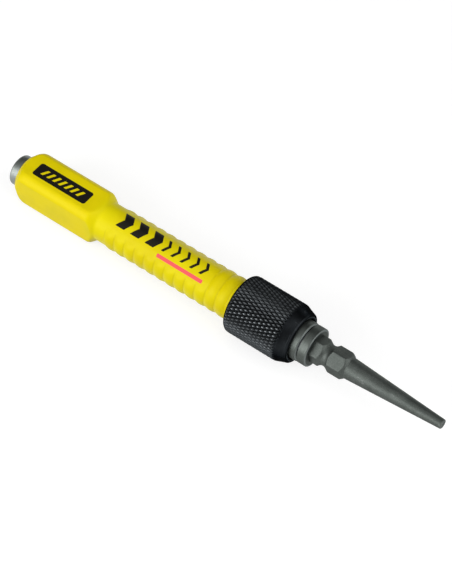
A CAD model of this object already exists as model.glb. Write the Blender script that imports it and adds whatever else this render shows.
# %% [markdown]
# # Dressing a nail setter
# A nail setter drives a nail's head below the wood. This one has a striking head, a moulded
# handle, a knurled collar that closes a collet, and a hex bit with a punch at each end.
# Its solids come ready made, in metres, with the tool along X and the striking face at 0.
# This lesson gives them their real surfaces. Simple turned pieces keep their solid's mesh and
# get a finish. Pieces whose surface has more shape than the solid has, such as the knurl,
# the thread and the soft edges of the moulding, are built again as finer meshes.

# %% Load the solids
import math

import bpy
import numpy as np
from mathutils import Matrix, Vector


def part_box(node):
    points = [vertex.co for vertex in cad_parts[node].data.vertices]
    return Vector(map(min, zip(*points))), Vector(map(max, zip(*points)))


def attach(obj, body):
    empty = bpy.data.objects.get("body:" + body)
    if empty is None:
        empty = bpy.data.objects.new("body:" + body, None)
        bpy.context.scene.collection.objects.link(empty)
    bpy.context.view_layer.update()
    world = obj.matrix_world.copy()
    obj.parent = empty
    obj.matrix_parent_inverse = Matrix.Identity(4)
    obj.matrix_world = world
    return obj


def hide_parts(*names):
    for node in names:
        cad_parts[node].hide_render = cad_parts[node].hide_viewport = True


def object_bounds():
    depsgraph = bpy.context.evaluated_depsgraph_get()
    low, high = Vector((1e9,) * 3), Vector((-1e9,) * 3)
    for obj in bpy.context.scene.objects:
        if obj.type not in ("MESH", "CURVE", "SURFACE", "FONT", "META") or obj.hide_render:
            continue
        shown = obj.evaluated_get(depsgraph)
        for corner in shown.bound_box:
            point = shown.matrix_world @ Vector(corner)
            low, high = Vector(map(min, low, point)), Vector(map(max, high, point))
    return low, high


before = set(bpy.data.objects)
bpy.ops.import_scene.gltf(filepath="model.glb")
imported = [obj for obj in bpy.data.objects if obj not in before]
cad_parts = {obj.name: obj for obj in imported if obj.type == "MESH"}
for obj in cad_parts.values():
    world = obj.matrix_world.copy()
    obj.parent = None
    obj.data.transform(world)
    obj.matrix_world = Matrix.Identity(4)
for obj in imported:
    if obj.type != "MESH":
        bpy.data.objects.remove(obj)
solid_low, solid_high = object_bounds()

MM = 0.001
TURN = 2 * math.pi
print(f"{len(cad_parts)} solids, {(solid_high.x - solid_low.x) / MM:.1f} mm long")

# %% [markdown]
# ## Measuring the solids
# Every new piece takes the place of a solid, so its sizes are read from the solid's own
# points. A turned solid has rings of points wherever its outline bends, and these helpers
# read them: the radii at one place along the tool, and the places of one radius.

# %% Read places and radii
SAME = 0.005 * MM


def rings_of(node):
    """Place along the tool and distance from its axis, for each point of a solid."""
    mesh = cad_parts[node].data
    found = np.empty(len(mesh.vertices) * 3, np.float32)
    mesh.vertices.foreach_get("co", found)
    points = found.reshape(-1, 3).astype(float)
    return points[:, 0], np.hypot(points[:, 1], points[:, 2])


def radii_at(node, place):
    """Different radii that a solid has at one place, the smallest first."""
    places, radii = rings_of(node)
    return np.unique(np.round(radii[np.abs(places - place) < SAME], 6))


def places_of(node, radius):
    """Different places where a solid has points at one radius, the nearest first."""
    places, radii = rings_of(node)
    return np.unique(np.round(places[np.abs(radii - radius) < SAME], 6))


handle_back, handle_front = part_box("handle_grip")[0].x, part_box("handle_grip")[1].x
shank_r, rib_r = radii_at("handle_grip", handle_front)[[0, -1]]
striking_r, rim_r = radii_at("handle_grip", handle_back)[[0, -1]]
head_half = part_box("handle_grip")[1].z
collar_back, collar_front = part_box("knurled_collar")[0].x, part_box("knurled_collar")[1].x
collar_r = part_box("knurled_collar")[1].z
core_back, core_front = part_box("steel_core")[0].x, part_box("steel_core")[1].x
bit_back, bit_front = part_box("reversible_bit")[0].x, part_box("reversible_bit")[1].x
print(f"handle {handle_back / MM:.2f} to {handle_front / MM:.2f} mm, ribs {rib_r / MM:.2f} mm")
print(f"collar {collar_back / MM:.2f} to {collar_front / MM:.2f} mm, radius {collar_r / MM:.2f} mm")

# %% [markdown]
# ## One way to build every turned piece
# The whole tool is turned, pressed or moulded round one axis, so a single mesh builder
# serves all of it: rings of points round the axis, joined by quads. Each ring may have its
# own radius at every angle, which is what makes a square head, a hexagon, a rib that stops
# at a flat pad, or a diamond knurl. Sculpting or booleans could give the same shapes, but
# rings keep the points where the outline bends and leave no stray faces.
#
# Angle 0 points up, at the label side, and the angle grows towards +Y.

# %% Tables of rings and angles
def angles_round(around):
    """Even angles for the points of one ring."""
    return TURN * np.arange(around) / around


def grid_of(values, around):
    """Two tables with a row for each ring: the ring's own value, and each point's angle."""
    return np.meshgrid(values, angles_round(around), indexing="ij")


def all_round(values, around):
    """A table with a row for each ring, whose value is the same at every angle."""
    return np.tile(np.reshape(values, (-1, 1)), (1, around))


# %% Build rings into a mesh
def ring_piece(name, places, radii, hollow=False, splits=None, sharp=32):
    """Joins rings of points round the tool's axis, one row of radii for each ring.

    A hollow piece closes from its last ring back to its first. A solid one ends in a point
    on the axis at each end. splits tells how a quad is cut: 1 or 2 for its two diagonals.
    """
    count, around = radii.shape
    angles = angles_round(around)
    places = np.broadcast_to(np.asarray(places, float).reshape(count, -1), radii.shape)
    points = np.stack([places, radii * np.sin(angles), radii * np.cos(angles)], axis=2)
    points = points.reshape(-1, 3)
    ring = np.arange(count if hollow else count - 1)[:, None]
    column = np.arange(around)[None, :]
    beside, ahead = (column + 1) % around, (ring + 1) % count
    corners = np.stack([
        ring * around + column, ahead * around + column,
        ahead * around + beside, ring * around + beside,
    ], axis=2)
    cut = np.zeros(corners.shape[:2], int)
    if splits is not None:
        cut[:splits.shape[0]] = splits
    faces = corners[cut == 0].tolist()
    for kind, halves in ((1, ((0, 1, 2), (0, 2, 3))), (2, ((0, 1, 3), (1, 2, 3)))):
        for half in halves:
            faces += corners[cut == kind][:, half].tolist()
    if not hollow:
        start, end = len(points), len(points) + 1
        axis_points = [[places[0, 0], 0, 0], [places[-1, 0], 0, 0]]
        points = np.vstack([points, axis_points])
        last = (count - 1) * around
        faces += [[start, j, (j + 1) % around] for j in range(around)]
        faces += [[end, last + (j + 1) % around, last + j] for j in range(around)]
    mesh = bpy.data.meshes.new(name)
    mesh.from_pydata(points.tolist(), [], faces)
    mesh.validate()
    mesh.polygons.foreach_set("use_smooth", [True] * len(mesh.polygons))
    mesh.set_sharp_from_angle(angle=math.radians(sharp))
    piece = bpy.data.objects.new(name, mesh)
    bpy.context.scene.collection.objects.link(piece)
    print(f"{name}: {len(mesh.vertices)} points, {len(mesh.polygons)} faces")
    return piece


def mark_points(piece, title, values):
    """Keeps one number for each point, for a material to read. Points on the axis get 0."""
    attribute = piece.data.attributes.new(title, "FLOAT", "POINT")
    everywhere = np.zeros(len(piece.data.vertices), np.float32)
    everywhere[:values.size] = values.ravel()
    attribute.data.foreach_set("value", everywhere)


# %% [markdown]
# ## Edges and creases
# A turned part has no perfectly sharp edge: the tool or the tumbling drum leaves a small
# round, and that round is what catches the light. A bevel modifier could add it, but it
# would also round the knurl. So outlines are written as corners with a rounding each, and
# the first helper draws the arcs. The others round the crease where two surfaces meet.

# %% Round the corners of an outline
def rounded_outline(corners, steps=4):
    """Turns corners of (place, radius, rounding) into the places and radii of an outline."""
    spots = np.array([corner[:2] for corner in corners], float)
    outline = []
    for index, (spot, corner) in enumerate(zip(spots, corners)):
        if corner[2] == 0 or index in (0, len(corners) - 1):
            outline.append(spot)
            continue
        back, ahead = spots[index - 1] - spot, spots[index + 1] - spot
        back, ahead = back / np.linalg.norm(back), ahead / np.linalg.norm(ahead)
        half = math.acos(float(np.clip(back @ ahead, -1, 1))) / 2
        middle = (back + ahead) / np.linalg.norm(back + ahead)
        centre = spot + middle * corner[2] / math.sin(half)
        first = spot + back * corner[2] / math.tan(half) - centre
        last = spot + ahead * corner[2] / math.tan(half) - centre
        sweep = math.atan2(first[0] * last[1] - first[1] * last[0], first @ last)
        for share in np.linspace(0, 1, steps + 1):
            c, s = math.cos(sweep * share), math.sin(sweep * share)
            outline.append(centre + [c * first[0] - s * first[1], s * first[0] + c * first[1]])
    return np.array(outline)


# %% Round the crease between two surfaces
def soft_min(a, b, blend):
    """The smaller of two surfaces, with the crease between them rounded over blend."""
    share = np.clip(0.5 + 0.5 * (b - a) / blend, 0, 1)
    return b * (1 - share) + a * share - blend * share * (1 - share)


def soft_max(a, b, blend):
    """The larger of two surfaces, with the corner between them filled over blend."""
    return -soft_min(-a, -b, blend)


def smooth_step(low, high, value):
    """0 below low and 1 above high, with a smooth rise between."""
    share = np.clip((value - low) / (high - low), 0, 1)
    return share * share * (3 - 2 * share)


# %% [markdown]
# ## The moulded handle
# The handle is a yellow plastic moulding over the steel core. From the back it has a square
# head with soft corners, rounded to a circle at the back and sloped at the front, then a
# neck, and twelve ribs. A smooth pad for the print interrupts the first ten ribs on the
# label side.
#
# A subdivided box could be pushed into this shape by hand. Here each zone is a formula for
# the radius at a place and an angle, so it can be measured and changed by its numbers. Soft
# minimum and maximum join the zones, so that every crease has the small radius that a
# moulding tool leaves.

# %% Sizes of the handle
HEAD_LEN = 25.6 * MM
HEAD_CORNER_R = 2.1 * MM
BACK_ROUND_LEN = 3.2 * MM
FRONT_SLOPE_LEN = 1.9 * MM
NECK_LEN = 3.4 * MM
RIB_COUNT = 12
FULL_RIB_COUNT = 2
RIB_PITCH = 3.14 * MM
RIB_GAP = 0.1 * MM
RIB_RISE = 0.34 * MM
PAD_HALF_WIDTH = 4.5 * MM
PAD_CORNER_R = 1.2 * MM
PAD_EDGE = 0.7 * MM
NOTCH_ROUND = 0.16 * MM
CREASE = 0.5 * MM
EDGE_R = 0.12 * MM

head_front = handle_back + HEAD_LEN
neck_r = radii_at("handle_grip", head_front)[-1]
ribs_back = head_front + NECK_LEN
ribs_front = ribs_back + RIB_COUNT * RIB_PITCH
pad_front = ribs_front - FULL_RIB_COUNT * RIB_PITCH
floor_r = rib_r - RIB_RISE
head_diagonal_r = (head_half - HEAD_CORNER_R) * math.sqrt(2) + HEAD_CORNER_R
print(f"head to {head_front / MM:.2f} mm, ribs from {ribs_back / MM:.2f} mm")


# %% Shape of the head
def square_radius(angles, half, corner_r):
    """Distance from the axis to a square with round corners, at each angle."""
    large = np.maximum(np.abs(np.sin(angles)), np.abs(np.cos(angles)))
    small = np.minimum(np.abs(np.sin(angles)), np.abs(np.cos(angles)))
    flat = half - corner_r
    reach = flat * (large + small)
    on_corner = reach + np.sqrt(np.maximum(reach**2 - 2 * flat**2 + corner_r**2, 0))
    return np.where(half * small / large <= flat, half / large, on_corner)


def turned_head(places):
    """Radius of the round envelope of the square head, which ends in the neck."""
    drop = head_diagonal_r - rim_r
    arc_r = (drop**2 + BACK_ROUND_LEN**2) / (2 * drop)
    behind = np.clip(handle_back + BACK_ROUND_LEN - places, 0, BACK_ROUND_LEN)
    back = head_diagonal_r - arc_r + np.sqrt(arc_r**2 - behind**2)
    slope = (head_diagonal_r - neck_r) / FRONT_SLOPE_LEN
    front = neck_r + slope * (head_front - places)
    return soft_min(back, front, CREASE)


# %% Shape of the barrel
def rib_radius(places):
    """Radius over the ribs: each is a slice of a circle, with a sharp notch to the next."""
    chord = RIB_PITCH - RIB_GAP
    circle_r = chord**2 / (8 * RIB_RISE) + RIB_RISE / 2
    along = (places - ribs_back) % RIB_PITCH - RIB_PITCH / 2
    arc = rib_r - circle_r + np.sqrt(circle_r**2 - along**2)
    ribs = soft_max(arc, floor_r, NOTCH_ROUND)
    return np.where(places < ribs_back, neck_r, np.where(places > ribs_front, rib_r, ribs))


def pad_share(places, angles):
    """1 on the smooth pad of the label side and 0 off it, with a soft edge."""
    across = np.abs(rib_r * np.sin(angles))
    out_x = places - (pad_front - PAD_CORNER_R)
    out_y = across - (PAD_HALF_WIDTH - PAD_CORNER_R)
    outside = np.hypot(np.maximum(out_x, 0), np.maximum(out_y, 0))
    distance = outside + np.minimum(np.maximum(out_x, out_y), 0) - PAD_CORNER_R
    return smooth_step(PAD_EDGE, -PAD_EDGE, distance) * (np.cos(angles) > 0)


# %% [markdown]
# The rings crowd together where the outline turns fast: at the head's two ends and on both
# sides of every notch between ribs. Half a cosine wave spaces them that way.

# %% Rings of the handle
GRIP_AROUND = 288
BACK_RINGS, FLAT_RINGS, SLOPE_RINGS, NECK_RINGS, RINGS_PER_RIB, END_RINGS = 22, 14, 34, 8, 15, 5


def crowded(start, end, count):
    """Places from start to end that crowd together at both ends."""
    return start + (end - start) * (1 - np.cos(np.linspace(0, math.pi, count))) / 2


slope_back = head_front - FRONT_SLOPE_LEN - CREASE
rib_edges = ribs_back + RIB_PITCH * np.arange(RIB_COUNT + 1)
grip_places = np.unique(np.concatenate([
    handle_back + BACK_ROUND_LEN * np.linspace(0, 1, BACK_RINGS)**2,
    np.linspace(handle_back + BACK_ROUND_LEN, slope_back, FLAT_RINGS),
    np.linspace(slope_back, head_front + CREASE, SLOPE_RINGS),
    np.linspace(head_front + CREASE, ribs_back, NECK_RINGS),
    *[crowded(a, b, RINGS_PER_RIB) for a, b in zip(rib_edges[:-1], rib_edges[1:])],
    np.linspace(ribs_front, handle_front - EDGE_R, END_RINGS),
]).round(7))
print(f"{len(grip_places)} rings along the handle")

# %% Build the handle
x, turn = grid_of(grip_places, GRIP_AROUND)
square = square_radius(turn, head_half, HEAD_CORNER_R)
head = soft_min(square, turned_head(x), CREASE)
pad = pad_share(x, turn)
barrel = rib_radius(x) * (1 - pad) + floor_r * pad
grip_outer = np.where(x < ribs_back - NECK_LEN / 2, soft_max(head, neck_r, CREASE), barrel)

edge_arc = rounded_outline([
    (handle_front, rib_r - 3 * EDGE_R, 0), (handle_front, rib_r, EDGE_R),
    (handle_front - 3 * EDGE_R, rib_r, 0),
])[::-1]
front_edge = edge_arc[edge_arc[:, 0] > handle_front - 0.99 * EDGE_R]
inner_wall = [
    (handle_front, shank_r), (core_back, shank_r), (core_back, striking_r),
    (handle_back, striking_r), (handle_back, rim_r - EDGE_R),
]
closing = np.array([*front_edge, *inner_wall])
grip_radii = np.vstack([grip_outer, all_round(closing[:, 1], GRIP_AROUND)])
grip_rings = np.concatenate([grip_places, closing[:, 0]])
grip = ring_piece("grip_moulding", grip_rings, grip_radii, hollow=True)

# %% [markdown]
# Dirt settles in the notches between ribs and in the fold where the head meets the neck.
# Painting it by hand would tie it to one mesh. Here each point keeps a number that says how
# deep it lies in a hollow, and the finish reads it.

# %% Mark the hollows of the handle
NOTCH_WIDTH = 0.22 * MM
FOLD_WIDTH = 0.5 * MM
FOLD_SHARE = 0.3

from_notch = np.abs((x - ribs_back + RIB_PITCH / 2) % RIB_PITCH - RIB_PITCH / 2)
on_ribs = (1 - pad) * (x > ribs_back) * (x < ribs_front)
notches = np.exp(-(from_notch / NOTCH_WIDTH)**2) * on_ribs
neck_fold = np.exp(-((x - head_front) / FOLD_WIDTH)**2) * FOLD_SHARE
no_marks = np.zeros((len(closing), GRIP_AROUND))
mark_points(grip, "hollows", np.vstack([np.maximum(notches, neck_fold), no_marks]))
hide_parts("handle_grip")
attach(grip, "handle")

# %% [markdown]
# ## The striking head
# The end that the hammer hits is turned from bar, with its edge rounded. Use leaves
# shallow dents on the face. A plain cylinder would show a dead flat disc, so the face is a
# grid of rings with a few dents pressed in, placed by a fixed rule and not at random: each
# is one golden angle on from the last, as seeds lie in a sunflower.

# %% Build the striking head
STRIKE_EDGE_R = 0.6 * MM
STRIKE_AROUND = 128
FACE_RINGS = 16
FACE_MIDDLE_R = 0.1 * MM
DENT_COUNT = 9
DENT_R = 0.75 * MM
DENT_DEPTH = 0.035 * MM
DENT_REACH = 0.72
GOLDEN_ANGLE = math.pi * (3 - math.sqrt(5))
STRUCK_DEPTH = 0.5 * MM

stem_r = radii_at("strike_cap", core_back)[0]
stem_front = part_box("strike_cap")[1].x
flat_r = striking_r - STRIKE_EDGE_R
strike_outline = rounded_outline([
    (0, flat_r - 0.01 * MM, 0), (0, striking_r, STRIKE_EDGE_R),
    (handle_back / 2, striking_r, 0), (core_back, striking_r, EDGE_R), (core_back, stem_r, 0),
    (stem_front, stem_r, EDGE_R), (stem_front, stem_r / 4, 0),
], steps=8)
face_rings = np.linspace(FACE_MIDDLE_R, flat_r, FACE_RINGS)[:-1]
strike_places = np.concatenate([0 * face_rings, strike_outline[:, 0]])
r, turn = grid_of(np.concatenate([face_rings, strike_outline[:, 1]]), STRIKE_AROUND)
x = all_round(strike_places, STRIKE_AROUND)
for dent in range(DENT_COUNT):
    dent_r = striking_r * DENT_REACH * math.sqrt((dent + 0.5) / DENT_COUNT)
    dent_turn = dent * GOLDEN_ANGLE
    apart = (r * np.sin(turn) - dent_r * math.sin(dent_turn))**2
    apart += (r * np.cos(turn) - dent_r * math.cos(dent_turn))**2
    on_face = x < STRIKE_EDGE_R / 2
    x += on_face * DENT_DEPTH * (1 + dent % 3) / 2 * np.exp(-apart / DENT_R**2)
strike = ring_piece("striking_face", x, r)
mark_points(strike, "worn", np.exp(-x / STRUCK_DEPTH))
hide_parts("strike_cap")
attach(strike, "handle")

# %% [markdown]
# ## The knurled collar
# The collar is the nut that closes the collet. Two crossed rolls press grooves into it, one
# family leaning each way, and leave diamonds that stand up between them, with their tops
# flattened by use. On the real tool there are about fifty grooves of each family, a little
# under 1 mm apart, and each diamond is about 2.3 mm long.
#
# A bump map would give the colour of a knurl but not its outline or its glints. Here the
# rings and columns follow the pattern's own grid, eight to a diamond, and each quad is cut
# along the groove that crosses it, so the flanks are true planes and need few faces.

# %% Sizes of the collar
KNURL_COUNT = 50
KNURL_PITCH = 2.29 * MM
KNURL_DEPTH = 0.25 * MM
KNURL_TOP_SHARE = 0.7
KNURL_FADE = 0.9 * MM
KNURL_RUN_OUT = 0.06 * MM
GRID_PER_DIAMOND = 8
BACK_R = 1.3 * MM
PLAIN_BACK_TURN = math.radians(40)
CONE_LEN, CONE_DROP = 2.7 * MM, 1 * MM
FRONT_EDGE_LEN = 0.6 * MM
MOUTH_EDGE_R = 0.05 * MM
BACK_STEPS, FRONT_STEPS = 6, 12
FACET_ANGLE = 14

cone_front = collar_front - FRONT_EDGE_LEN
cone_back = cone_front - CONE_LEN
face_r = radii_at("knurled_collar", collar_front)[-1]
mouth_r = radii_at("knurled_collar", collar_front)[0]
counterbore_r = radii_at("knurled_collar", collar_back)[0]
counterbore_front = places_of("knurled_collar", counterbore_r)[-1]
chamber_r = radii_at("knurled_collar", counterbore_front)[0]
mouth_back = places_of("knurled_collar", chamber_r)[-1]
mouth_inner_r = radii_at("knurled_collar", mouth_back)[0]
collar_around = KNURL_COUNT * GRID_PER_DIAMOND
knurl_step = KNURL_PITCH / GRID_PER_DIAMOND
knurl_back = collar_back + BACK_R * (1 - math.cos(PLAIN_BACK_TURN))
knurl_front = cone_back + KNURL_DEPTH * CONE_LEN / CONE_DROP
knurl_rings = int((knurl_front - knurl_back) / knurl_step)
knurl_places = knurl_front - knurl_step * np.arange(knurl_rings)[::-1]
print(f"knurl: {knurl_rings} rings of {collar_around} points, from {knurl_back / MM:.2f} mm")


# %% Shape of the knurl
def groove_share(lines):
    """0 in the middle of a groove and 1 half way to the next, for a place counted in lines."""
    return 1 - np.abs(2 * (lines % 1) - 1)


def knurl_share(ring, column):
    """Height of the knurl, as a share of its depth, and which family of grooves rules it."""
    one = groove_share((column + ring) / GRID_PER_DIAMOND)
    other = groove_share((column - ring) / GRID_PER_DIAMOND)
    return np.minimum(np.minimum(one, other), KNURL_TOP_SHARE) / KNURL_TOP_SHARE, one < other


def collar_back_radius(places):
    """Radius of the collar over its rounded back edge."""
    behind = np.clip(collar_back + BACK_R - places, 0, BACK_R)
    return collar_r - BACK_R + np.sqrt(BACK_R**2 - behind**2)


def cone_radius(places):
    """Radius that the cone leaves in front. Behind it, this is the collar's own radius."""
    return collar_r - CONE_DROP * np.maximum(places - cone_back, 0) / CONE_LEN


# %% [markdown]
# The knurl fades in on the rounded back edge, as it does under real rolls. The cone was
# turned after it, so it cuts the diamonds off one by one, down to the depth of the grooves.

# %% Cut the diamonds
ring, column = np.meshgrid(np.arange(knurl_rings), np.arange(collar_around), indexing="ij")
share, _ = knurl_share(ring, column)
fade = smooth_step(knurl_back, knurl_back + KNURL_FADE, knurl_places)[:, None]
knurl_radii = collar_back_radius(knurl_places)[:, None] - KNURL_DEPTH * fade * (1 - share)
knurl_radii = np.minimum(knurl_radii, cone_radius(knurl_places)[:, None])
_, first_rules = knurl_share(ring[:-1] + 0.5, column[:-1] + 0.5)
knurl_cuts = np.where(first_rules, 2, 1)
print(f"diamonds: {KNURL_PITCH / MM:.2f} mm long, {KNURL_DEPTH / MM:.2f} mm deep")

# %% [markdown]
# Two plain rings follow the last diamonds closely, so that they don't streak the cone's
# shading, and a rounded edge leads from the cone to the front face. The inside has the
# mouth round the collet, the thread's chamber and the counterbore over the rubber ring.

# %% Build the collar
cone_run = np.array([knurl_front + KNURL_RUN_OUT, knurl_front + 3 * KNURL_RUN_OUT])
cone_run = np.stack([cone_run, cone_radius(cone_run)], axis=1)
edge_turns = np.linspace(0, TURN / 4, FRONT_STEPS)
front_arc = np.stack([
    cone_front + FRONT_EDGE_LEN * np.sin(edge_turns),
    face_r + (collar_r - CONE_DROP - face_r) * np.cos(edge_turns),
], axis=1)
mouth_outline = rounded_outline([
    (collar_front, face_r, 0), (collar_front, mouth_r, MOUTH_EDGE_R),
    (collar_front - (mouth_r - mouth_inner_r), mouth_inner_r, MOUTH_EDGE_R),
    (mouth_back, mouth_inner_r, 0), (mouth_back, chamber_r, 0),
    (counterbore_front, chamber_r, 0), (counterbore_front, counterbore_r, 0),
    (collar_back, counterbore_r, 0),
])
back_turns = np.linspace(0, PLAIN_BACK_TURN, BACK_STEPS)
back_arc = np.stack([
    collar_back + BACK_R * (1 - np.cos(back_turns)),
    collar_r - BACK_R + BACK_R * np.sin(back_turns),
], axis=1)
plain_outline = np.vstack([cone_run, front_arc, mouth_outline[1:], back_arc])
collar_rings = np.concatenate([knurl_places, plain_outline[:, 0]])
collar_radii = np.vstack([knurl_radii, all_round(plain_outline[:, 1], collar_around)])
collar = ring_piece(
    "collar_knurl", collar_rings, collar_radii, hollow=True, splits=knurl_cuts,
    sharp=FACET_ANGLE)

# %% [markdown]
# Each point also keeps how far the coat is rubbed off it, for the finish to read: most on
# the tops of the diamonds and on the rim of the front face, and least on the cone.

# %% Mark the worn crests
GROOVE_WEAR = 0.2
TOP_FROM = 0.4
CONE_WEAR = 0.04
RIM_WEAR = 1.86
RIM_WIDTH = 0.13 * MM

on_cone = (knurl_places > cone_back)[:, None]
top_wear = GROOVE_WEAR + (1 - GROOVE_WEAR) * smooth_step(TOP_FROM, 1, share)
crests = top_wear * fade * np.where(on_cone, CONE_WEAR, 1)
from_rim = np.hypot(plain_outline[:, 0] - collar_front, plain_outline[:, 1] - face_r)
plain_crests = CONE_WEAR + RIM_WEAR * np.exp(-(from_rim / RIM_WIDTH)**2)
mark_points(collar, "crests", np.vstack([crests, all_round(plain_crests, collar_around)]))
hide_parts("knurled_collar")
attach(collar, "collar")

# %% [markdown]
# ## The core and its thread
# The collar runs on a fine right-hand thread on the steel core's spigot, which shows when
# the collar is unscrewed. A helical ridge could be swept along a curve, but on a ring grid
# the thread is one line: the radius depends on the place less the pitch times the turn.
# The hidden shank and the stepped bore follow the solid.

# %% Sizes of the core
THREAD_PITCH = 0.75 * MM
THREAD_DEPTH = 0.46 * MM
THREAD_AROUND = 144
RINGS_PER_THREAD = 12
THREAD_FLAT_SHARE = 0.14

spigot_r = radii_at("steel_core", handle_front)[-1]
stem_hole_r = radii_at("steel_core", core_back)[0]
groove_back, groove_front, relief_back, thread_back = places_of("steel_core", spigot_r)[1:5]
relief_r = radii_at("steel_core", thread_back)[0]
stem_end = places_of("steel_core", stem_hole_r)[-1]
seat_wide_r = radii_at("steel_core", core_front)[0]
bush_back, bush_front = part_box("thrust_bush")[0].x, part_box("thrust_bush")[1].x
bush_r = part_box("thrust_bush")[1].z
seat_r = radii_at("steel_core", bush_front)[-1]
seat_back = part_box("collet")[0].x
seat_front = places_of("steel_core", seat_wide_r)[0]
tail_r = radii_at("steel_core", bush_back)[0]
tail_step = places_of("steel_core", tail_r)[0]
narrow_r = radii_at("steel_core", tail_step)[0]
tail_end = places_of("steel_core", narrow_r)[0]
ring_floor_r = radii_at("steel_core", groove_back)[0]
thread_front = core_front - THREAD_DEPTH
print(f"core: thread from {thread_back / MM:.2f} mm, seat from {seat_back / MM:.2f} mm")

# %% Build the core
behind = rounded_outline([
    (stem_end, stem_hole_r, 0), (core_back, stem_hole_r, 0), (core_back, shank_r, EDGE_R),
    (handle_front, shank_r, 0), (handle_front, spigot_r, EDGE_R),
    (groove_back, spigot_r, EDGE_R / 2), (groove_back, ring_floor_r, EDGE_R),
    (groove_front, ring_floor_r, EDGE_R), (groove_front, spigot_r, EDGE_R / 2),
    (relief_back, spigot_r, EDGE_R / 2), (relief_back, relief_r, EDGE_R),
    (thread_back - EDGE_R, relief_r, 0),
])
ahead = rounded_outline([
    (core_front - EDGE_R, spigot_r - THREAD_DEPTH, 0),
    (core_front, spigot_r - THREAD_DEPTH - EDGE_R, EDGE_R / 4), (core_front, seat_wide_r, EDGE_R),
    (seat_front, seat_wide_r, EDGE_R), (seat_back, seat_r, 0), (bush_front, seat_r, 0),
    (bush_front, bush_r, 0), (bush_back, bush_r, 0), (bush_back, tail_r, 0),
    (tail_step, tail_r, 0), (tail_step, narrow_r, 0), (tail_end, narrow_r, 0),
])
thread_run = np.arange(thread_back, thread_front, THREAD_PITCH / RINGS_PER_THREAD)
x, turn = grid_of(thread_run, THREAD_AROUND)
flank = np.minimum(groove_share(x / THREAD_PITCH + turn / TURN), 1 - THREAD_FLAT_SHARE)
thread_radii = spigot_r - THREAD_DEPTH * (1 - flank / (1 - THREAD_FLAT_SHARE))
core_radii = np.vstack([
    all_round(behind[:, 1], THREAD_AROUND), thread_radii, all_round(ahead[:, 1], THREAD_AROUND),
])
core_rings = np.concatenate([behind[:, 0], thread_run, ahead[:, 0]])
core = ring_piece("core_thread", core_rings, core_radii)
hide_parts("steel_core")
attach(core, "handle")

# %% [markdown]
# ## The reversible bit
# The bit is a hexagonal bar, turned down at both ends to a tapered punch, with a hollow
# groove turned near each end of the hexagon. Where a turned shape meets flats the border is
# a curve, scalloped like a pencil's. Taking the smaller of the hexagon and the turned
# outline gives just that, and a soft minimum adds the small round along every edge.

# %% Sizes of the bit
TAPER_ROOT_R = 2.8 * MM
TIP_EDGE_R = 0.3 * MM
CUP_DEPTH = 0.22 * MM
CUP_MIDDLE_SHARE = 0.08
CUP_RINGS, TIP_EDGE_RINGS = 8, 6
BIT_CREASE = 0.16 * MM
CORNER_BREAK = 0.05 * MM
CLEAR_R = 0.4 * MM

hex_corner_r = rings_of("reversible_bit")[1].max()
hex_half = hex_corner_r * math.cos(TURN / 12)
hex_back, *groove_ends, hex_front = places_of("reversible_bit", hex_corner_r)
bit_grooves = list(zip(groove_ends[::2], groove_ends[1::2]))
root_back, root_front = places_of("reversible_bit", TAPER_ROOT_R)[[0, -1]]
bit_groove_r = radii_at("reversible_bit", sum(bit_grooves[0]) / 2)[0]
tip_cups = {end: radii_at("reversible_bit", end)[-1] for end in (bit_back, bit_front)}
corner_points = np.array([v.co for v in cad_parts["reversible_bit"].data.vertices])
corner_reach = np.hypot(corner_points[:, 1], corner_points[:, 2])
corner_points = corner_points[corner_reach > 0.999 * hex_corner_r]
hex_roll = math.atan2(corner_points[0, 1], corner_points[0, 2])
print(f"hexagon {hex_back / MM:.2f} to {hex_front / MM:.2f} mm, {2 * hex_half / MM:.2f} mm across")


# %% Shape of the bit
def hexagon_radius(angles):
    """Distance from the axis to the hexagon, with its corners just broken."""
    from_flat = (angles - hex_roll) % (TURN / 6) - TURN / 12
    return soft_min(hex_half / np.cos(from_flat), hex_corner_r - CORNER_BREAK / 2, CORNER_BREAK)


def bit_outline(places):
    """Radius of the turned outline: tapers, shoulders, grooves, and clear of the hexagon."""
    clear_r = hex_corner_r + CLEAR_R
    slope = (hex_corner_r - TAPER_ROOT_R) / (hex_back - root_back)
    run = CLEAR_R / slope
    outline = np.interp(
        places,
        [bit_back + TIP_EDGE_R, root_back, hex_back + run, hex_front - run, root_front,
         bit_front - TIP_EDGE_R],
        [tip_cups[bit_back] + TIP_EDGE_R, TAPER_ROOT_R, clear_r, clear_r, TAPER_ROOT_R,
         tip_cups[bit_front] + TIP_EDGE_R],
    )
    for start, end in bit_grooves:
        half, depth = (end - start) / 2, hex_corner_r - bit_groove_r
        arc_r = (half**2 + depth**2) / (2 * depth)
        along = np.clip(places - (start + end) / 2, -arc_r, arc_r)
        arc = bit_groove_r + arc_r - np.sqrt(arc_r**2 - along**2)
        outline = np.minimum(outline, arc)
    return outline


def tip_rings(end, side):
    """Places and radii of a tip, from the middle of its cup to its rounded edge."""
    cup_r = tip_cups[end]
    cup = cup_r * np.linspace(CUP_MIDDLE_SHARE, 1, CUP_RINGS)
    arc = np.linspace(0, TURN / 4, TIP_EDGE_RINGS + 1)[1:]
    places = [end - side * CUP_DEPTH * (1 - (cup / cup_r)**2),
              end - side * TIP_EDGE_R * (1 - np.cos(arc))]
    radii = [cup, cup_r + TIP_EDGE_R * np.sin(arc)]
    return np.concatenate(places), np.concatenate(radii)


# %% [markdown]
# The scalloped borders lie slantwise across the rings, so the rings are close together at
# the shoulders and the grooves. The tapers and the middle of the hexagon need few.

# %% Build the bit
BIT_AROUND = 192
FINE = 0.075 * MM
SHOULDER_RUN = 1.4 * MM
TAPER_RINGS, MIDDLE_RINGS = 44, 8

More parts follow.
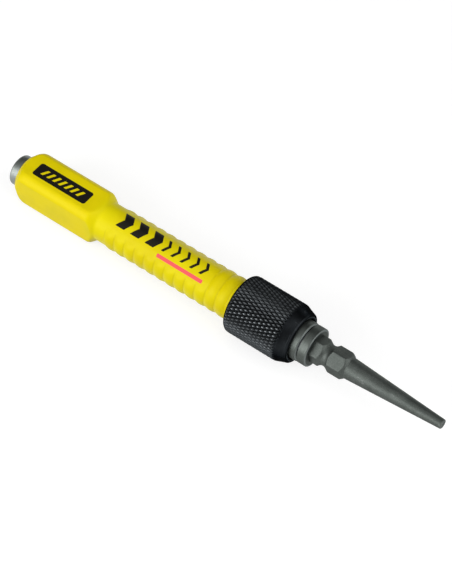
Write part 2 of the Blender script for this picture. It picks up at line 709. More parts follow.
body_places = np.unique(np.concatenate([
    np.linspace(bit_back + TIP_EDGE_R, root_back - SHOULDER_RUN, TAPER_RINGS)[1:],
    np.arange(root_back - SHOULDER_RUN, hex_back + SHOULDER_RUN, FINE),
    *[np.arange(start - 3 * FINE, end + 3 * FINE, FINE) for start, end in bit_grooves],
    np.linspace(groove_ends[1] + 4 * FINE, groove_ends[2] - 4 * FINE, MIDDLE_RINGS),
    np.arange(hex_front - SHOULDER_RUN, root_front + SHOULDER_RUN, FINE),
    np.linspace(root_front + SHOULDER_RUN, bit_front - TIP_EDGE_R, TAPER_RINGS)[:-1],
]).round(7))
x, turn = grid_of(body_places, BIT_AROUND)
body_radii = soft_min(hexagon_radius(turn), bit_outline(x), BIT_CREASE)
back_x, back_r = tip_rings(bit_back, -1)
front_x, front_r = tip_rings(bit_front, 1)
bit_rings = np.concatenate([back_x, body_places, front_x[::-1]])
bit_radii = np.vstack([
    all_round(back_r, BIT_AROUND), body_radii, all_round(front_r[::-1], BIT_AROUND),
])
bit = ring_piece("bit_blank", bit_rings, bit_radii)
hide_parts("reversible_bit")
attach(bit, "bit")

# %% [markdown]
# ## Finishes
# Every finish is procedural, so it has no image and no seams. A few short helpers keep the
# node code readable: one adds a node and fills its sockets, with either a value or another
# node's output, and the others do sums, blends and links with it. Places come from the
# object's own coordinates. All the pieces share the tool's frame, so X is always the place
# along the tool, and the distance from the axis is a radius.

# %% Node helpers
def put(tree, kind, sockets=None, **settings):
    """Adds a node. A socket given as another node's output is linked, any other value is set."""
    node = tree.nodes.new(kind)
    for name, value in settings.items():
        setattr(node, name, value)
    for name, value in (sockets or {}).items():
        if isinstance(value, bpy.types.NodeSocket):
            tree.links.new(value, node.inputs[name])
        else:
            node.inputs[name].default_value = value
    return node


def give(tree, sockets, **values):
    """Links outputs to named sockets. Underscores in a name stand for spaces."""
    for name, value in values.items():
        tree.links.new(value, sockets[name.replace("_", " ")])


def sum_of(tree, operation, *values, clamp=False):
    """A Math node's output."""
    sockets = dict(enumerate(values))
    return put(tree, "ShaderNodeMath", sockets, operation=operation, use_clamp=clamp).outputs[0]


def any_of(tree, masks):
    """1 where any of several masks is 1."""
    total = masks[0]
    for mask in masks[1:]:
        total = sum_of(tree, "MAXIMUM", total, mask)
    return total


def rise(tree, value, low, high):
    """0 where value is below low and 1 above high, with a smooth rise. low may be the larger."""
    sockets = {"Value": value, "From Min": low, "From Max": high}
    return put(tree, "ShaderNodeMapRange", sockets, interpolation_type="SMOOTHSTEP").outputs[0]


def blend_of(tree, share, *colours):
    """A colour between two colours, each a plain colour or another node's output."""
    # A Mix node has sockets for each kind of value. Those for colours are 6 and 7, and out at 2.
    first, second = [
        colour if isinstance(colour, bpy.types.NodeSocket) else (*colour, 1) for colour in colours]
    sockets = {0: share, 6: first, 7: second}
    return put(tree, "ShaderNodeMix", sockets, data_type="RGBA", clamp_factor=True).outputs[2]


# %% [markdown]
# An effect that several finishes share is a node group, built once. A finish places it and
# gives it its own values. Copying the nodes into each finish would look the same, but a
# mend would then have to be made many times.

# %% Group helpers
def new_group(name, inputs, outputs):
    """Starts a shader node group with number inputs (and their usual values) and outputs."""
    tree = bpy.data.node_groups.new(name, "ShaderNodeTree")
    for title, usual in inputs.items():
        socket = tree.interface.new_socket(title, in_out="INPUT", socket_type="NodeSocketFloat")
        socket.default_value = usual
    for title in outputs:
        tree.interface.new_socket(title, in_out="OUTPUT", socket_type="NodeSocketFloat")
    print(f"group: {name}, gives {', '.join(outputs)}")
    return tree, tree.nodes.new("NodeGroupInput").outputs, tree.nodes.new("NodeGroupOutput").inputs


def use_group(tree, group, **values):
    """Places a group in a material. Underscores in a name stand for spaces."""
    sockets = {name.replace("_", " "): value for name, value in values.items()}
    return put(tree, "ShaderNodeGroup", sockets, node_tree=group).outputs


# %% [markdown]
# ### Where on the tool
# The first group turns the object's coordinates into what a turned part needs: the place
# along the tool, the radius, and the turn about the axis measured as a length on the skin.
# Print masks, wear and turning lines all start from it.

# %% Group: place on the tool
place_group, given, result = new_group(
    "place on the tool", {"Skin Radius": 5.3 * MM}, ["Along", "Radius", "Around", "Up"])
spot = put(place_group, "ShaderNodeTexCoord").outputs["Object"]
along, side, up = put(place_group, "ShaderNodeSeparateXYZ", {0: spot}).outputs
squares = [sum_of(place_group, "MULTIPLY", part, part) for part in (side, up)]
radius = sum_of(place_group, "SQRT", sum_of(place_group, "ADD", *squares))
turn_angle = sum_of(place_group, "ARCTAN2", side, up)
around = sum_of(place_group, "MULTIPLY", turn_angle, given["Skin Radius"])
give(place_group, result, Along=along, Radius=radius, Around=around, Up=up)

# %% [markdown]
# ### Turning lines
# A lathe leaves fine rings: lines that run round the axis on the skin and as circles on a
# face. Both come from one noise that reads the place plus the radius, so it is even along
# each ring. A little of the turn is mixed in, because real lines fade in and out.

# %% Group: turning lines
FADE_ROUND = 60
BROAD_SHARE = 0.13

lines_group, given, result = new_group(
    "turning lines", {"Line Width": 0.12 * MM}, ["Tone", "Height"])
where = use_group(lines_group, place_group)
run = sum_of(lines_group, "ADD", where["Along"], where["Radius"])
run = sum_of(lines_group, "DIVIDE", run, given["Line Width"])
faint = sum_of(lines_group, "MULTIPLY", where["Around"], FADE_ROUND)


def lines_at(place, detail):
    """Noise in lines: it changes with the place counted in lines, and slowly round the tool."""
    vector = put(lines_group, "ShaderNodeCombineXYZ", {0: place, 1: faint, 2: faint}).outputs[0]
    sockets = {"Vector": vector, "Scale": 1, "Detail": detail}
    return put(lines_group, "ShaderNodeTexNoise", sockets).outputs[0]


fine = lines_at(run, 3)
broad = lines_at(sum_of(lines_group, "MULTIPLY", run, BROAD_SHARE), 2)
tone = sum_of(lines_group, "MULTIPLY", sum_of(lines_group, "ADD", fine, broad), 0.5)
give(lines_group, result, Tone=tone, Height=fine)

# %% [markdown]
# ### Mottle, grain and handling marks
# Plastic and coated steel differ in scale, and not in kind: a broad cloudiness, a fine
# grain, and long thin scratches from use. One group gives all three as separate outputs,
# and each material takes what it needs. A scratch is where a drawn-out noise crosses its
# middle value, and it shows only in some patches.

# %% Group: surface marks
SCRATCH_STRETCH = (0.25, 3.2, 2.6)
SCRATCH_WITHIN, SCRATCH_FULL = 0.012, 0.002
PATCH_FROM, PATCH_TO = 0.54, 0.68
NOISE_ROUGH = 0.55

marks_group, given, result = new_group(
    "surface marks", {"Cloud Size": 6 * MM, "Grain Size": 0.15 * MM, "Scratch Size": 1.2 * MM},
    ["Cloud", "Grain", "Scratch"])
spot = put(marks_group, "ShaderNodeTexCoord").outputs["Object"]


def noise_at(size, detail, stretch=(1, 1, 1)):
    """Noise whose spots are about as large as a length, drawn out along X, Y or Z."""
    mapped = put(marks_group, "ShaderNodeMapping", {"Vector": spot, "Scale": stretch}).outputs[0]
    scale = sum_of(marks_group, "DIVIDE", 1, size)
    sockets = {"Vector": mapped, "Scale": scale, "Detail": detail, "Roughness": NOISE_ROUGH}
    return put(marks_group, "ShaderNodeTexNoise", sockets).outputs[0]


cloud = noise_at(given["Cloud Size"], 3)
grain = noise_at(given["Grain Size"], 2)
streak = noise_at(given["Scratch Size"], 1, SCRATCH_STRETCH)
near_middle = sum_of(marks_group, "ABSOLUTE", sum_of(marks_group, "SUBTRACT", streak, 0.5))
thin = rise(marks_group, near_middle, SCRATCH_WITHIN, SCRATCH_FULL)
patch = rise(marks_group, noise_at(given["Cloud Size"], 1), PATCH_FROM, PATCH_TO)
scratch = sum_of(marks_group, "MULTIPLY", thin, patch)
give(marks_group, result, Cloud=cloud, Grain=grain, Scratch=scratch)

# %% [markdown]
# ### A band round the tool
# Edges of turned parts wear bright in a ring. This mask is 1 close to a place along the
# tool and fades over a width, and grain makes its border ragged. Points nearer to the axis
# than a smallest radius are left out, so that a hole inside the edge stays dark.

# %% Group: worn ring
RAGGED = 0.8
RING_END, RING_FULL = 1.4, 0.5

ring_group, given, result = new_group(
    "worn ring", {"Place": 0, "Width": 0.2 * MM, "Smallest Radius": 0}, ["Mask"])
where = use_group(ring_group, place_group)
marks = use_group(ring_group, marks_group, Cloud_Size=1.5 * MM, Grain_Size=0.3 * MM)
away = sum_of(ring_group, "SUBTRACT", where["Along"], given["Place"])
away = sum_of(ring_group, "DIVIDE", sum_of(ring_group, "ABSOLUTE", away), given["Width"])
away = sum_of(ring_group, "ADD", away, sum_of(ring_group, "MULTIPLY", marks["Grain"], RAGGED))
outside = sum_of(ring_group, "GREATER_THAN", where["Radius"], given["Smallest Radius"])
close = rise(ring_group, away, RING_END, RING_FULL)
mask = sum_of(ring_group, "MULTIPLY", close, outside)
give(ring_group, result, Mask=mask)

# %% [markdown]
# ### Printed shapes
# The label side is pad printed. A picture laid on the skin would do, but it has to be
# unwrapped and it blurs close up. The print here is plain shapes that stay sharp, each one
# a rectangle with round corners whose distance is worked out in the shader: inside where
# the distance is below zero. Slant shears it into a leaning bar, and fold bends it at its
# middle into a chevron.

# %% Group: printed shape
PRINT_EDGE = 0.03 * MM

shape_group, given, result = new_group("printed shape", {
    "Along": 0, "Across": 0, "Middle Along": 0, "Middle Across": 0, "Half Length": 1 * MM,
    "Half Width": 1 * MM, "Corner": 0.2 * MM, "Slant": 0, "Fold": 0,
}, ["Mask"])
across = sum_of(shape_group, "SUBTRACT", given["Across"], given["Middle Across"])
along = sum_of(shape_group, "SUBTRACT", given["Along"], given["Middle Along"])
along = sum_of(shape_group, "ADD", along, sum_of(shape_group, "MULTIPLY", across, given["Slant"]))
folded = sum_of(shape_group, "MULTIPLY", sum_of(shape_group, "ABSOLUTE", across), given["Fold"])
along = sum_of(shape_group, "ADD", along, folded)


def past_side(place, half):
    """How far a place is past a straight side that is drawn in by the corner's radius."""
    drawn_in = sum_of(shape_group, "SUBTRACT", half, given["Corner"])
    return sum_of(shape_group, "SUBTRACT", sum_of(shape_group, "ABSOLUTE", place), drawn_in)


def square_of_positive(value):
    """The square of a value, or 0 where it is below 0."""
    return sum_of(shape_group, "POWER", sum_of(shape_group, "MAXIMUM", value, 0), 2)


past_end = past_side(along, given["Half Length"])
past_edge = past_side(across, given["Half Width"])
corner_part = sum_of(
    shape_group, "ADD", square_of_positive(past_end), square_of_positive(past_edge))
inner_part = sum_of(shape_group, "MINIMUM", sum_of(shape_group, "MAXIMUM", past_end, past_edge), 0)
distance = sum_of(shape_group, "ADD", sum_of(shape_group, "SQRT", corner_part), inner_part)
distance = sum_of(shape_group, "SUBTRACT", distance, given["Corner"])
give(shape_group, result, Mask=rise(shape_group, distance, PRINT_EDGE, -PRINT_EDGE))

# %% [markdown]
# ### Starting a finish
# A material starts from its shader. What is the same all over the piece is set on the
# shader's own sockets, and what changes over the surface is linked to them.

# %% Finish helpers
def new_finish(name, **shader_values):
    """A material with a Principled shader, its constants set on the shader's own sockets."""
    material = bpy.data.materials.new(name)
    material.use_nodes = True
    tree = material.node_tree
    shader = tree.nodes["Principled BSDF"]
    for title, value in shader_values.items():
        shader.inputs[title.replace("_", " ")].default_value = value
    print("finish:", name)
    return material, tree, shader


def set_bump(tree, shader, height, depth):
    """Feeds a height through a Bump node. depth is how tall a height of 1 stands."""
    sockets = {"Height": height, "Distance": depth, "Strength": 1}
    give(tree, shader.inputs, Normal=put(tree, "ShaderNodeBump", sockets).outputs[0])


def dress(piece, material):
    """Gives a piece one finish all over."""
    piece.data.materials.clear()
    piece.data.materials.append(material)


def dress_solid(node, material):
    """Gives a solid a finish, and leaves its mesh alone."""
    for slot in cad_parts[node].material_slots:
        slot.material = material


# %% [markdown]
# ## Moulded yellow plastic
# The plastic is a strong, slightly greenish yellow with a satin skin. Close up it has a
# fine grain from the mould, cloudy differences in gloss where hands have been, and dirt in
# the notches between the ribs. The black and red prints sit on it with a little more gloss.
#
# The head is a little warmer than the barrel, so two tones meet over the neck. A strong
# yellow turns pale where it mirrors a white floor. A lower index of refraction weakens that
# mirror, and a tint on it keeps it yellow.

# %% Start the yellow
HEAD_YELLOW = (0.84, 0.685, 0.002)
BARREL_YELLOW = (0.81, 0.70, 0.002)
DEEP_YELLOW = (0.76, 0.63, 0.002)
NOTCH_DIRT = (0.30, 0.24, 0.012)
PRINT_BLACK = (0.011, 0.010, 0.010)
PRINT_RED = (0.92, 0.10, 0.12)

yellow, tree, shader = new_finish(
    "moulded yellow", IOR=1.28, Specular_Tint=(1, 0.94, 0.4, 1))
where = use_group(tree, place_group, Skin_Radius=floor_r)
marks = use_group(tree, marks_group, Cloud_Size=9 * MM, Grain_Size=0.22 * MM)
spot = put(tree, "ShaderNodeTexCoord").outputs["Object"]
across_face = put(tree, "ShaderNodeSeparateXYZ", {0: spot}).outputs[1]

# %% [markdown]
# The shapes printed are a plain badge with leaning bars on the head, and chevrons that point
# to the working end on the barrel, with a red stripe beside them. On the flat label face a
# place across the print is Y, and on the round pad it is a length on the skin.

# %% Place the prints
BADGE_ALONG, BADGE_ACROSS = 15.4 * MM, -0.6 * MM
BADGE_LEN, BADGE_WIDTH, BADGE_CORNER = 17 * MM, 4.3 * MM, 0.7 * MM
BAR_COUNT, BAR_PITCH, BAR_SLANT = 7, 1.9 * MM, -0.55
BAR_LEN, BAR_WIDTH, BAR_CORNER = 0.84 * MM, 1.9 * MM, 0.08 * MM
LABEL_DEPTH = 0.6 * MM
BOLD_FROM, BOLD_PITCH, BOLD_COUNT = 36.4 * MM, 4.6 * MM, 3
BOLD_LEN, BOLD_WIDTH = 2.7 * MM, 4.7 * MM
THIN_FROM, THIN_PITCH, THIN_COUNT = 49.2 * MM, 2.9 * MM, 5
THIN_LEN, THIN_WIDTH = 0.84 * MM, 3.8 * MM
CHEVRON_ACROSS, CHEVRON_FOLD, CHEVRON_CORNER = -0.2 * MM, 0.55, 0.15 * MM
STRIPE_ALONG, STRIPE_ACROSS = 54.5 * MM, -3.6 * MM
STRIPE_LEN, STRIPE_WIDTH, STRIPE_CORNER = 14 * MM, 1 * MM, 0.25 * MM


def printed(across, middle_along, middle_across, length, width, corner, slant=0, fold=0):
    """A mask for one printed shape. across is what a place across the print is read from."""
    return use_group(
        tree, shape_group, Along=where["Along"], Across=across, Middle_Along=middle_along,
        Middle_Across=middle_across, Half_Length=length / 2, Half_Width=width / 2,
        Corner=corner, Slant=slant, Fold=fold)["Mask"]


badge = printed(across_face, BADGE_ALONG, BADGE_ACROSS, BADGE_LEN, BADGE_WIDTH, BADGE_CORNER)
bars = any_of(tree, [
    printed(across_face, BADGE_ALONG + (index - (BAR_COUNT - 1) / 2) * BAR_PITCH, BADGE_ACROSS,
            BAR_LEN, BAR_WIDTH, BAR_CORNER, slant=BAR_SLANT)
    for index in range(BAR_COUNT)
])
on_label = sum_of(tree, "GREATER_THAN", where["Up"], head_half - LABEL_DEPTH)
badge_black = sum_of(tree, "MULTIPLY", sum_of(tree, "SUBTRACT", badge, bars), on_label)
chevrons = any_of(tree, [
    printed(where["Around"], start + pitch * index, CHEVRON_ACROSS, length, width,
            CHEVRON_CORNER, fold=CHEVRON_FOLD)
    for start, pitch, count, length, width in (
        (BOLD_FROM, BOLD_PITCH, BOLD_COUNT, BOLD_LEN, BOLD_WIDTH),
        (THIN_FROM, THIN_PITCH, THIN_COUNT, THIN_LEN, THIN_WIDTH))
    for index in range(count)
])
print_black = sum_of(tree, "MAXIMUM", badge_black, chevrons)
print_red = printed(
    where["Around"], STRIPE_ALONG, STRIPE_ACROSS, STRIPE_LEN, STRIPE_WIDTH, STRIPE_CORNER)
print(f"printed: a badge with {BAR_COUNT} bars, {BOLD_COUNT + THIN_COUNT} chevrons and a stripe")

# %% Mix the yellow
DEEP_BELOW, CLEAN_ABOVE = 0.3, 0.65
DIRT_SHARE = 0.2
SATIN, CLOUD_SATIN, SCRATCH_SATIN, PRINT_SATIN = 0.30, 0.18, 0.12, -0.06
PRINT_RISE = 1.2
SKIN_DEPTH = 0.006 * MM

hollows = put(tree, "ShaderNodeAttribute", attribute_name="hollows").outputs["Fac"]
past_head = rise(tree, where["Along"], head_front - NECK_LEN, head_front)
clean = blend_of(tree, past_head, HEAD_YELLOW, BARREL_YELLOW)
clear = rise(tree, marks["Cloud"], DEEP_BELOW, CLEAN_ABOVE)
colour = blend_of(tree, clear, DEEP_YELLOW, clean)
colour = blend_of(tree, sum_of(tree, "MULTIPLY", hollows, DIRT_SHARE), colour, NOTCH_DIRT)
colour = blend_of(tree, print_black, colour, PRINT_BLACK)
colour = blend_of(tree, print_red, colour, PRINT_RED)
gloss = sum_of(tree, "MULTIPLY_ADD", marks["Cloud"], CLOUD_SATIN, SATIN)
gloss = sum_of(tree, "MULTIPLY_ADD", marks["Scratch"], SCRATCH_SATIN, gloss)
gloss = sum_of(tree, "MULTIPLY_ADD", print_black, PRINT_SATIN, gloss)
height = sum_of(
    tree, "MULTIPLY_ADD", any_of(tree, [print_black, print_red]), PRINT_RISE, marks["Grain"])
give(tree, shader.inputs, Base_Color=colour, Roughness=gloss)
set_bump(tree, shader, height, SKIN_DEPTH)
dress(grip, yellow)

# %% [markdown]
# ## Steels
# The steels share one recipe with different numbers: a dark and a light tone mixed by the
# turning lines, the mottle and the grain, and bare metal where a mask says it is worn.
# Bright turned steel is fully metallic. A phosphate coat and black oxide are thin dark skins
# on metal. They could be made as a paint, but paint has no metal's gloss. Here they are
# nearly metallic with a dark tone, and their edge tone is low, because a real coat doesn't
# turn pale at a grazing angle.

# %% A recipe for steel
TONE_FROM, TONE_TO = 0.36, 0.64
CLOUD_ROUGH = 0.2
SCRATCH_SHINE = 0.35
SHINE_SMOOTH = -0.1


def steel_finish(name, dark, light, rough, metallic, line_width, line_depth, worn=None,
                 worn_tone=(0.42, 0.43, 0.43), grain_depth=0.0, edge_tone=1.0,
                 parts=(0.6, 0.4, 0)):
    """A steel whose tone follows its lines, mottle and grain by their parts, with a worn mask."""
    material, tree, shader = new_finish(name, Specular_Tint=(edge_tone, edge_tone, edge_tone, 1))
    lines = use_group(tree, lines_group, Line_Width=line_width)
    marks = use_group(tree, marks_group, Cloud_Size=3 * MM, Grain_Size=0.18 * MM)
    mixed = sum_of(tree, "MULTIPLY", lines["Tone"], parts[0])
    mixed = sum_of(tree, "MULTIPLY_ADD", marks["Cloud"], parts[1], mixed)
    mixed = sum_of(tree, "MULTIPLY_ADD", marks["Grain"], parts[2], mixed)
    colour = blend_of(tree, rise(tree, mixed, TONE_FROM, TONE_TO), dark, light)
    shine = sum_of(tree, "MULTIPLY", marks["Scratch"], SCRATCH_SHINE)
    if worn is not None:
        shine = sum_of(tree, "MAXIMUM", shine, worn(tree))
    roughness = sum_of(tree, "MULTIPLY_ADD", marks["Cloud"], CLOUD_ROUGH, rough - CLOUD_ROUGH / 2)
    give(tree, shader.inputs,
         Base_Color=blend_of(tree, shine, colour, worn_tone),
         Roughness=sum_of(tree, "MULTIPLY_ADD", shine, SHINE_SMOOTH, roughness),
         Metallic=sum_of(tree, "MULTIPLY_ADD", shine, 1 - metallic, metallic, clamp=True))
    height = sum_of(tree, "MULTIPLY", lines["Height"], line_depth / MM)
    height = sum_of(tree, "MULTIPLY_ADD", marks["Grain"], grain_depth / MM, height)
    set_bump(tree, shader, height, MM)
    return material


# %% Worn masks
def worn_attribute(title, share):
    """A worn mask that a piece keeps for each of its points."""
    def mask(tree):
        kept = put(tree, "ShaderNodeAttribute", attribute_name=title).outputs["Fac"]
        return sum_of(tree, "MULTIPLY", kept, share)
    return mask


def worn_rings(places, width, smallest_r, share):
    """A worn mask on edges at some places along the tool."""
    def mask(tree):
        sizes = {"Width": width, "Smallest_Radius": smallest_r}
        found = [use_group(tree, ring_group, Place=place, **sizes)["Mask"] for place in places]
        return sum_of(tree, "MULTIPLY", any_of(tree, found), share)
    return mask


# %% [markdown]
# ### Bright steel and black oxide
# The striking head is bright turned steel, paler where it is struck. The collar's black
# oxide is a coat so thin that the steel's gloss comes through it. It is rubbed off the tops
# of the diamonds and off the front rim, and both masks were kept with the meshes.

# %% Finish: striking head and collar
struck_steel = steel_finish(
    "struck steel", (0.17, 0.187, 0.176), (0.27, 0.293, 0.277), rough=0.46, metallic=1.0,
    line_width=0.11 * MM, line_depth=0.002 * MM, worn=worn_attribute("worn", 0.3),
    worn_tone=(0.5, 0.53, 0.52))
dress(strike, struck_steel)
black_oxide = steel_finish(
    "black oxide steel", (0.009, 0.0102, 0.0116), (0.018, 0.0205, 0.023), rough=0.36,
    metallic=0.98, line_width=0.1 * MM, line_depth=0.001 * MM,
    worn=worn_attribute("crests", 0.47), worn_tone=(0.19, 0.205, 0.213), edge_tone=0.08)
dress(collar, black_oxide)

# %% [markdown]
# ### Phosphate
# The collet and the bit have a grey-green phosphate. It is made of fine crystals, so its
# grain is stronger than its turning lines. The collet's mesh is its solid's own and keeps no
# numbers on its points, so its wear comes from rings: one at the front edge of the nose, and
# one just behind the slot with the grip ring. The bit is worn a little at its tip.

# %% Finish: collet and bit
nose_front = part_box("collet")[1].x
slot_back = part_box("bit_grip_ring")[0].x
NOSE_BORE_R = 4.6 * MM
SLOT_EDGE = 0.2 * MM

nose_wear = worn_rings([nose_front, slot_back - SLOT_EDGE], 0.22 * MM, NOSE_BORE_R, share=0.35)
phosphate = steel_finish(
    "phosphated steel", (0.072, 0.082, 0.075), (0.112, 0.125, 0.116), rough=0.46,
    metallic=0.85, line_width=0.13 * MM, line_depth=0.002 * MM, worn=nose_wear,
    worn_tone=(0.36, 0.40, 0.40), grain_depth=0.003 * MM, edge_tone=0.4, parts=(0.3, 0.3, 0.4))
dress_solid("collet", phosphate)
bit_phosphate = steel_finish(
    "bit phosphate", (0.068, 0.077, 0.071), (0.115, 0.129, 0.119), rough=0.50, metallic=0.8,
    line_width=0.16 * MM, line_depth=0.0015 * MM,
    worn=worn_rings([bit_front], 0.35 * MM, 0.0, share=0.15), grain_depth=0.005 * MM,
    edge_tone=0.4, parts=(0.15, 0.3, 0.55))
dress(bit, bit_phosphate)

# %% [markdown]
# ### Inner parts
# The inner parts show when the collar is unscrewed or the bit drawn out: the turned core
# with its thread, the hardened bush, the black spring rings and the bronze washer. The same
# recipe serves them all, bronze too, since it is only a metal of another tone.

# %% Finish: core, bush, spring rings and washer
core_steel = steel_finish(
    "core steel", (0.17, 0.175, 0.18), (0.33, 0.34, 0.35), rough=0.36, metallic=0.95,
    line_width=0.09 * MM, line_depth=0.001 * MM)
dress(core, core_steel)
hardened = steel_finish(
    "hardened steel", (0.07, 0.075, 0.085), (0.17, 0.175, 0.18), rough=0.32, metallic=0.9,
    line_width=0.08 * MM, line_depth=0.001 * MM)
dress_solid("thrust_bush", hardened)
spring_black = steel_finish(
    "spring black", (0.012, 0.013, 0.016), (0.035, 0.037, 0.042), rough=0.3, metallic=0.7,
    line_width=0.07 * MM, line_depth=0.001 * MM)
dress_solid("bit_grip_ring", spring_black)
dress_solid("collet_snap_ring", spring_black)
bronze = steel_finish(
    "washer bronze", (0.36, 0.22, 0.08), (0.60, 0.40, 0.16), rough=0.34, metallic=1.0,
    line_width=0.08 * MM, line_depth=0.001 * MM, worn_tone=(0.75, 0.55, 0.26))
dress_solid("thrust_washer", bronze)

# %% [markdown]
# ### Rubber
# The ring behind the collar is black nitrile rubber: hardly any gloss, a trace of mould
# bloom in clouds, and a very fine grain. A plain black would show it as a hole.

# %% Finish: rubber ring
RUBBER_DARK = (0.009, 0.009, 0.010)
RUBBER_PALE = (0.022, 0.022, 0.023)
RUBBER_ROUGH, RUBBER_CLOUD_ROUGH = 0.42, 0.25
RUBBER_GRAIN = 0.004 * MM

rubber, tree, shader = new_finish("ring rubber", Specular_IOR_Level=0.35)
marks = use_group(tree, marks_group, Cloud_Size=2 * MM, Grain_Size=0.08 * MM)
give(tree, shader.inputs,
     Base_Color=blend_of(tree, marks["Cloud"], RUBBER_DARK, RUBBER_PALE),
     Roughness=sum_of(tree, "MULTIPLY_ADD", marks["Cloud"], RUBBER_CLOUD_ROUGH, RUBBER_ROUGH))
set_bump(tree, shader, marks["Grain"], RUBBER_GRAIN)
dress_solid("collar_o_ring", rubber)

# %% [markdown]
# ## The floor
# The tool lies on its collar and its square head, so the floor under it slopes a little:
# it touches the back of the collar and the underside of the head. A plane with a sky behind
# it would do for one camera. Here the floor is a wide disc whose rim curves up, as a
# photographer's backdrop does, so that every level view ends on it too.

# %% Build the floor
FLOOR_R, RIM_R, FLOOR_SIDES = 3.0, 1.0, 96
CLIMB_STEP = 10
FLOOR_GAP = 0.02 * MM

touch_collar = Vector((collar_back + BACK_R, 0, -collar_r))
touch_head = Vector((handle_back + BACK_ROUND_LEN, 0, -head_half))
slope = math.atan2(touch_collar.z - touch_head.z, touch_collar.x - touch_head.x)
floor_points, floor_faces = [], [tuple(range(FLOOR_SIDES))]
for climb in np.radians(np.arange(0, 91, CLIMB_STEP)):
    ring_r, ring_z = FLOOR_R + RIM_R * math.sin(climb), RIM_R * (1 - math.cos(climb))
    first = len(floor_points)
    for turn in angles_round(FLOOR_SIDES):
        floor_points.append((ring_r * math.cos(turn), ring_r * math.sin(turn), ring_z))
    for side in range(FLOOR_SIDES if first else 0):
        after = (side + 1) % FLOOR_SIDES
        floor_faces.append((first - FLOOR_SIDES + side, first + side,
                            first + after, first - FLOOR_SIDES + after))
floor_mesh = bpy.data.meshes.new("floor")
floor_mesh.from_pydata(floor_points, [], floor_faces)
floor_mesh.shade_smooth()
floor_mesh.polygons[0].use_smooth = False
floor = bpy.data.objects.new("floor", floor_mesh)
bpy.context.scene.collection.objects.link(floor)
floor.location = touch_collar - Vector((0, 0, FLOOR_GAP))
floor.rotation_euler.y = -slope
print(f"floor slopes {math.degrees(slope):.2f} degrees")

# %% [markdown]
# The floor is pale, and not white, so that it throws little light back on the tool. For what
# the camera, the metal and the plastic see of it, it glows as well, more towards its rim: it
# shows white and still keeps the tool's shadow.

# %% Finish: floor
FLOOR_TONE = 0.35
FLOOR_GLOW, RIM_GLOW = 0.76, 1.0
GLOW_FROM, GLOW_TO = 0.2, 0.55

floor_finish, tree, shader = new_finish("pale floor", Roughness=0.9, Specular_IOR_Level=0.1)
shader.inputs["Base Color"].default_value = (FLOOR_TONE, FLOOR_TONE, FLOOR_TONE, 1)
shader.inputs["Emission Color"].default_value = (1, 1, 1, 1)
path = put(tree, "ShaderNodeLightPath").outputs
seen = any_of(tree, [path["Is Camera Ray"], path["Is Glossy Ray"], path["Is Transmission Ray"]])
here = put(tree, "ShaderNodeTexCoord").outputs["Object"]
away = put(tree, "ShaderNodeVectorMath", {0: here}, operation="LENGTH").outputs["Value"]
outward = rise(tree, away, GLOW_FROM, GLOW_TO)
glow = sum_of(tree, "MULTIPLY_ADD", outward, RIM_GLOW - FLOOR_GLOW, FLOOR_GLOW)
give(tree, shader.inputs, Emission_Strength=sum_of(tree, "MULTIPLY", seen, glow))
dress(floor, floor_finish)

# %% [markdown]
# ## Light
# Soft studio light from four large lamps. The key lamp is low in front, near the striking
# end: it puts the broad highlight along the ridge between the label face and the front face.
# The top lamp lights the label face, the side lamp lights the chamfers and shoulders that
# face the tip, and a weak one behind keeps the far side from going dark. The surround is
# dim, because the dark sides of the steel mirror it. Light adds up, so one lamp's share can
# be found by rendering it alone. The powers were then set with the photograph beside the
# render, so that a surface shows about its own colour.

# %% Place the lamps
# Turn and height are in degrees, distance and size in metres, and power in watts.
LAMPS = {
    "key lamp": {"turn": -22, "height": 24, "distance": 0.55, "size": 0.42, "power": 2.5},
    "top lamp": {"turn": -10, "height": 78, "distance": 0.65, "size": 0.8, "power": 1.55},
    "side lamp": {"turn": 98, "height": 32, "distance": 0.55, "size": 0.6, "power": 2.1},
    "back lamp": {"turn": 180, "height": 6, "distance": 0.6, "size": 0.5, "power": 0.4},
}
SURROUND = 0.04
tool_middle = (solid_low + solid_high) / 2


def direction(turn, height):
    """Unit vector from the tool, for a turn about Z from the front and a height, in degrees."""
    turn, height = math.radians(turn), math.radians(height)
    level = math.cos(height)
    return Vector((math.sin(turn) * level, -math.cos(turn) * level, math.sin(height)))


def soft_lamp(name, turn, height, distance, size, power):
    """A square area lamp that faces the middle of the tool."""
    data = bpy.data.lights.new(name, "AREA")
    data.shape, data.size, data.energy = "SQUARE", size, power
    lamp = bpy.data.objects.new(name, data)
    bpy.context.scene.collection.objects.link(lamp)
    toward = direction(turn, height)
    lamp.location = tool_middle + toward * distance
    lamp.rotation_mode = "QUATERNION"
    lamp.rotation_quaternion = toward.to_track_quat("Z", "Y")
    print(f"{name}: {power} W")


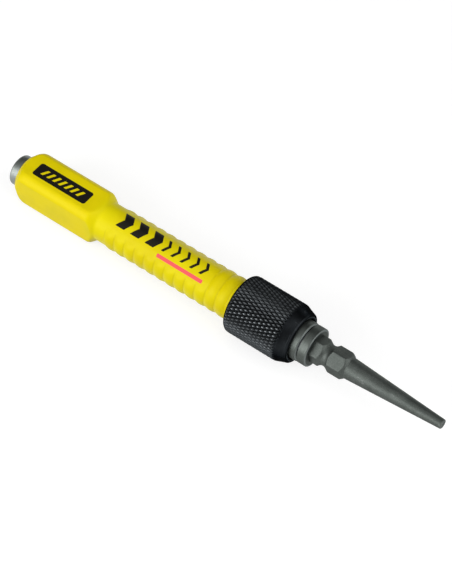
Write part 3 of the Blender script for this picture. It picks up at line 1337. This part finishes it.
for name, values in LAMPS.items():
    soft_lamp(name, **values)
world = bpy.data.worlds.new("grey surround")
bpy.context.scene.world = world
world.use_nodes = True
backdrop = world.node_tree.nodes["Background"]
backdrop.inputs["Color"].default_value = (1, 1, 1, 1)
backdrop.inputs["Strength"].default_value = SURROUND

# %% [markdown]
# ## Camera
# The photograph looks down at the tool from in front of its tip, with a long lens. The
# turn, height, roll and distance were found by laying the solids' outline over the
# photograph's. The camera aims at a point beside the tool's middle instead of shifting its
# lens, so that the same lens serves every other view.

# %% Place the camera
PHOTO_WIDTH, PHOTO_HEIGHT = 452, 584
FOCAL_PIXELS = 2100
VIEW_TURN, VIEW_HEIGHT, VIEW_ROLL = 37.1, 52.0, 0.31
VIEW_DISTANCE = 511 * MM
AIM_PLACE = 67.9 * MM
AIM_OFFSET_PIXELS = (5.1, 4.6)
SENSOR = 36

back = direction(VIEW_TURN, VIEW_HEIGHT)
right = (-back).cross(Vector((0, 0, 1))).normalized()
up = right.cross(-back)
roll = math.radians(VIEW_ROLL)
rolled_right = math.cos(roll) * right + math.sin(roll) * up
rolled_up = -math.sin(roll) * right + math.cos(roll) * up
pixel = VIEW_DISTANCE / FOCAL_PIXELS
aim = Vector((AIM_PLACE, 0, 0)) - rolled_right * AIM_OFFSET_PIXELS[0] * pixel
aim += rolled_up * AIM_OFFSET_PIXELS[1] * pixel
camera_data = bpy.data.cameras.new("camera")
camera_data.sensor_width = SENSOR
camera_data.lens = SENSOR * FOCAL_PIXELS / max(PHOTO_WIDTH, PHOTO_HEIGHT)
camera_data.clip_start, camera_data.clip_end = 0.01, 50
camera = bpy.data.objects.new("camera", camera_data)
bpy.context.scene.collection.objects.link(camera)
camera.matrix_world = Matrix.Translation(aim + back * VIEW_DISTANCE) @ Matrix(
    (rolled_right, rolled_up, back)).transposed().to_4x4()
bpy.context.scene.camera = camera
bpy.context.scene.view_settings.view_transform = "Standard"
print(f"lens {camera_data.lens:.0f} mm, {VIEW_DISTANCE:.2f} m away")
